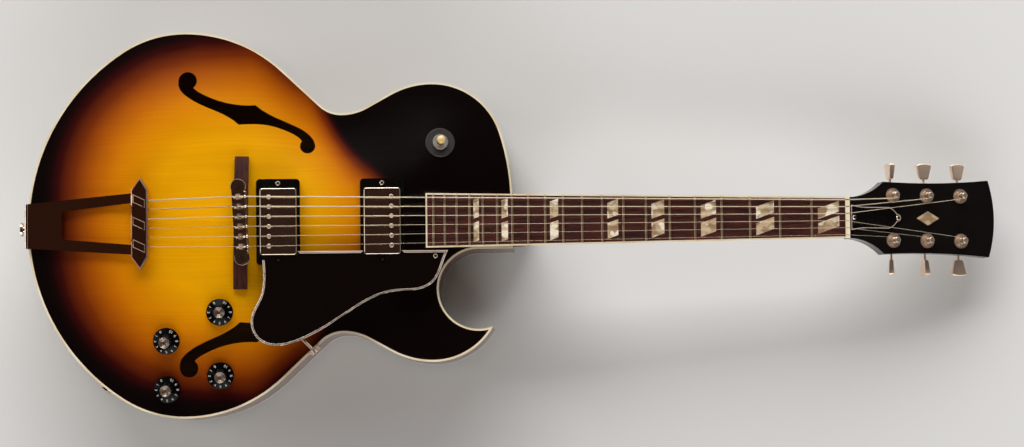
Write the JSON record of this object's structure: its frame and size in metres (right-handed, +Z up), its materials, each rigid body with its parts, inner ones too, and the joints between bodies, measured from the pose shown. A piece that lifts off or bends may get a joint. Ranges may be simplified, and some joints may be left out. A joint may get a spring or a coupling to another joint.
{
  "type": "archtop guitar",
  "caption": "Hollow archtop electric guitar with f-holes, one rounded cutaway, hinged tailpiece, floating bridge, covered pickups, dial knobs and a slim bound fingerboard.",
  "frame": {"origin": "bottom centre of the bounding box, on the surface the guitar lies on with its back down", "axes": "+X along the neck towards the head, +Y towards the bass side, +Z up through the top"},
  "size_m": [1.03, 0.405, 0.1445],
  "materials": {
    "sunburst_top": "gloss",
    "sunburst_back": "gloss",
    "side_wood": "gloss",
    "inside_wood": "satin",
    "neck_wood": "gloss",
    "binding": "gloss",
    "rosewood": "satin",
    "pearl": "gloss",
    "bone": "satin",
    "nickel": "polished",
    "fret_metal": "polished",
    "string_metal": "polished",
    "black_plastic": "gloss",
    "black_lacquer": "gloss",
    "guard": "gloss",
    "switch_tip": "gloss",
    "electric_metal": "satin"
  },
  "bodies": {
    "guitar": {"top_plate": "sunburst_top", "back_plate": "sunburst_back", "rim": "side_wood", "body_bindings": "binding", "inner_bracing": "inside_wood", "end_blocks": "inside_wood", "neck": "neck_wood", "headstock_veneer": "black_lacquer", "fingerboard": "rosewood", "fingerboard_binding": "binding", "frets": "fret_metal", "pearl_inlays": "pearl", "nut": "bone", "truss_rod": "electric_metal", "truss_rod_cover": "black_plastic", "strings": "string_metal", "tuner_housings": "nickel", "tuner_bushings": "nickel", "pickup_rings": "black_plastic", "pickguard": "guard", "pickguard_bracket": "nickel", "bridge_base": "rosewood", "bridge_studs": "nickel", "strap_buttons": "nickel", "output_jack": "nickel", "tail_bracket": "nickel", "screws": "nickel", "control_pots": "electric_metal", "switch_ring": "black_plastic", "switch_body": "electric_metal"},
    "tailpiece": {"tailpiece": "nickel", "string_afterlengths": "string_metal"},
    "bridge": {"bridge_frame": "nickel"},
    "thumbwheel_bass": {"thumbwheel_bass": "nickel"},
    "thumbwheel_treble": {"thumbwheel_treble": "nickel"},
    "pickup_neck": {"pickup_neck": "nickel"},
    "pickup_bridge": {"pickup_bridge": "nickel"},
    "switch_lever": {"switch_lever": "switch_tip"},
    "knob_1": {"knob_1": "black_plastic"},
    "knob_2": {"knob_2": "black_plastic"},
    "knob_3": {"knob_3": "black_plastic"},
    "knob_4": {"knob_4": "black_plastic"},
    "tuner_key_1": {"tuner_key_1": "nickel"},
    "tuner_key_2": {"tuner_key_2": "nickel"},
    "tuner_key_3": {"tuner_key_3": "nickel"},
    "tuner_key_4": {"tuner_key_4": "nickel"},
    "tuner_key_5": {"tuner_key_5": "nickel"},
    "tuner_key_6": {"tuner_key_6": "nickel"},
    "tuner_post_1": {"tuner_post_1": "nickel"},
    "tuner_post_2": {"tuner_post_2": "nickel"},
    "tuner_post_3": {"tuner_post_3": "nickel"},
    "tuner_post_4": {"tuner_post_4": "nickel"},
    "tuner_post_5": {"tuner_post_5": "nickel"},
    "tuner_post_6": {"tuner_post_6": "nickel"},
    "saddle_1": {"saddle_1": "nickel"},
    "saddle_2": {"saddle_2": "nickel"},
    "saddle_3": {"saddle_3": "nickel"},
    "saddle_4": {"saddle_4": "nickel"},
    "saddle_5": {"saddle_5": "nickel"},
    "saddle_6": {"saddle_6": "nickel"}
  },
  "joints": [
    {"name": "turn_key_1", "type": "hinge", "parent": "guitar", "child": "tuner_key_1", "pos_m": [0.40452, 0.0237, 0.04794], "axis": [0, 1, 0], "continuous": true},
    {"name": "wind_post_1", "type": "hinge", "parent": "guitar", "child": "tuner_post_1", "pos_m": [0.4049, 0.0237, 0.06864], "axis": [0.3173, 0, 0.9483], "continuous": true},
    {"name": "turn_key_2", "type": "hinge", "parent": "guitar", "child": "tuner_key_2", "pos_m": [0.44103, 0.0237, 0.03572], "axis": [0, 1, 0], "continuous": true},
    {"name": "wind_post_2", "type": "hinge", "parent": "guitar", "child": "tuner_post_2", "pos_m": [0.44141, 0.0237, 0.05642], "axis": [0.3173, 0, 0.9483], "continuous": true},
    {"name": "turn_key_3", "type": "hinge", "parent": "guitar", "child": "tuner_key_3", "pos_m": [0.47754, 0.0237, 0.02351], "axis": [0, 1, 0], "continuous": true},
    {"name": "wind_post_3", "type": "hinge", "parent": "guitar", "child": "tuner_post_3", "pos_m": [0.47792, 0.0237, 0.04421], "axis": [0.3173, 0, 0.9483], "continuous": true},
    {"name": "turn_key_4", "type": "hinge", "parent": "guitar", "child": "tuner_key_4", "pos_m": [0.40452, -0.0237, 0.04794], "axis": [0, -1, 0], "continuous": true},
    {"name": "wind_post_4", "type": "hinge", "parent": "guitar", "child": "tuner_post_4", "pos_m": [0.4049, -0.0237, 0.06864], "axis": [0.3173, 0, 0.9483], "continuous": true},
    {"name": "turn_key_5", "type": "hinge", "parent": "guitar", "child": "tuner_key_5", "pos_m": [0.44103, -0.0237, 0.03572], "axis": [0, -1, 0], "continuous": true},
    {"name": "wind_post_5", "type": "hinge", "parent": "guitar", "child": "tuner_post_5", "pos_m": [0.44141, -0.0237, 0.05642], "axis": [0.3173, 0, 0.9483], "continuous": true},
    {"name": "turn_key_6", "type": "hinge", "parent": "guitar", "child": "tuner_key_6", "pos_m": [0.47754, -0.0237, 0.02351], "axis": [0, -1, 0], "continuous": true},
    {"name": "wind_post_6", "type": "hinge", "parent": "guitar", "child": "tuner_post_6", "pos_m": [0.47792, -0.0237, 0.04421], "axis": [0.3173, 0, 0.9483], "continuous": true},
    {"name": "turn_knob_1", "type": "hinge", "parent": "guitar", "child": "knob_1", "pos_m": [-0.2989, -0.0926, 0.11787], "axis": [0.047, -0.0714, 0.9963], "range_deg": [-150, 150]},
    {"name": "turn_knob_2", "type": "hinge", "parent": "guitar", "child": "knob_2", "pos_m": [-0.3545, -0.1216, 0.1149], "axis": [-0.0771, -0.1645, 0.9834], "range_deg": [-150, 150]},
    {"name": "turn_knob_3", "type": "hinge", "parent": "guitar", "child": "knob_3", "pos_m": [-0.3551, -0.1718, 0.10528], "axis": [-0.0325, -0.1522, 0.9878], "range_deg": [-150, 150]},
    {"name": "turn_knob_4", "type": "hinge", "parent": "guitar", "child": "knob_4", "pos_m": [-0.2995, -0.1578, 0.10709], "axis": [0.0607, -0.1829, 0.9813], "range_deg": [-150, 150]},
    {"name": "throw_switch", "type": "hinge", "parent": "guitar", "child": "switch_lever", "pos_m": [-0.06839, 0.08158, 0.10844], "axis": [-0.0075, 0.9916, -0.1294], "range_deg": [-12, 12]},
    {"name": "lift_tailpiece", "type": "hinge", "parent": "guitar", "child": "tailpiece", "pos_m": [-0.5022, 0, 0.106], "axis": [0, -1, 0], "range_deg": [0, 12]},
    {"name": "bridge_lift", "type": "slide", "parent": "guitar", "child": "bridge", "axis": [0, 0, 1], "range_m": [-0.0025, 0]},
    {"name": "turn_thumbwheel_bass", "type": "hinge", "parent": "bridge", "child": "thumbwheel_bass", "pos_m": [-0.27772, 0.03695, 0.14383], "axis": [0, 0, 1], "range_deg": [-1150, 10]},
    {"name": "turn_thumbwheel_treble", "type": "hinge", "parent": "bridge", "child": "thumbwheel_treble", "pos_m": [-0.27384, -0.03695, 0.14383], "axis": [0, 0, 1], "range_deg": [-1150, 10]},
    {"name": "slide_saddle_1", "type": "slide", "parent": "bridge", "child": "saddle_1", "axis": [0.9986, 0.0523, 0], "range_m": [-0.0025, 0.0025]},
    {"name": "slide_saddle_2", "type": "slide", "parent": "bridge", "child": "saddle_2", "axis": [0.9986, 0.0523, 0], "range_m": [-0.0025, 0.0025]},
    {"name": "slide_saddle_3", "type": "slide", "parent": "bridge", "child": "saddle_3", "axis": [0.9986, 0.0523, 0], "range_m": [-0.0025, 0.0025]},
    {"name": "slide_saddle_4", "type": "slide", "parent": "bridge", "child": "saddle_4", "axis": [0.9986, 0.0523, 0], "range_m": [-0.0025, 0.0025]},
    {"name": "slide_saddle_5", "type": "slide", "parent": "bridge", "child": "saddle_5", "axis": [0.9986, 0.0523, 0], "range_m": [-0.0025, 0.0025]},
    {"name": "slide_saddle_6", "type": "slide", "parent": "bridge", "child": "saddle_6", "axis": [0.9986, 0.0523, 0], "range_m": [-0.0025, 0.0025]},
    {"name": "height_pickup_neck", "type": "slide", "parent": "guitar", "child": "pickup_neck", "axis": [0.0785, 0, 0.9969], "range_m": [-0.003, 0.0015]},
    {"name": "height_pickup_bridge", "type": "slide", "parent": "guitar", "child": "pickup_bridge", "axis": [0.0785, 0, 0.9969], "range_m": [-0.003, 0.0015]}
  ],
  "couplings": [
    {"joint": "wind_post_1", "follows": "turn_key_1", "ratio": -0.071429},
    {"joint": "wind_post_2", "follows": "turn_key_2", "ratio": -0.071429},
    {"joint": "wind_post_3", "follows": "turn_key_3", "ratio": -0.071429},
    {"joint": "wind_post_4", "follows": "turn_key_4", "ratio": 0.071429},
    {"joint": "wind_post_5", "follows": "turn_key_5", "ratio": 0.071429},
    {"joint": "wind_post_6", "follows": "turn_key_6", "ratio": 0.071429},
    {"joint": "turn_thumbwheel_bass", "follows": "bridge_lift", "rad_per_m": 7953.4},
    {"joint": "turn_thumbwheel_treble", "follows": "bridge_lift", "rad_per_m": 7953.4}
  ]
}
